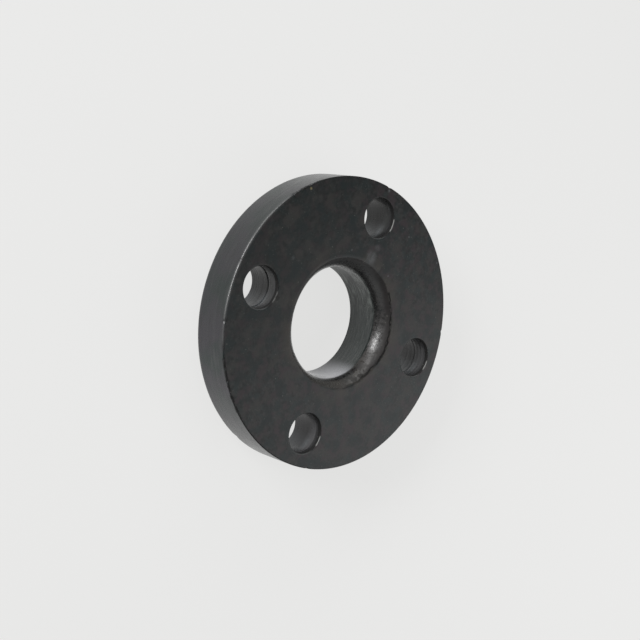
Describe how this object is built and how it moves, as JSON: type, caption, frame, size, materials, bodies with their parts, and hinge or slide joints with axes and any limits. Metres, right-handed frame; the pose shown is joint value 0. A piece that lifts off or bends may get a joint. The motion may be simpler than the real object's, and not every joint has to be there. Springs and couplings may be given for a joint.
{
  "type": "lap joint flange",
  "caption": "Plain round lap joint flange with a rounded bore mouth, a short hub behind and evenly spaced bolt holes, in blackened forged steel.",
  "frame": {"origin": "on the bore axis, in the plane of the hub's end, which is the lowest point as the flange lies", "axes": "+Z along the bore, out of the lap face with the rounded bore mouth; X and Y lie midway between neighbouring bolt holes"},
  "size_m": [0.115, 0.115, 0.0206],
  "materials": {
    "blackened_steel": "turned forged steel, oil blackened, matt, rim turned lighter"
  },
  "bodies": {
    "root": {"flange": "blackened_steel"}
  },
  "joints": []
}
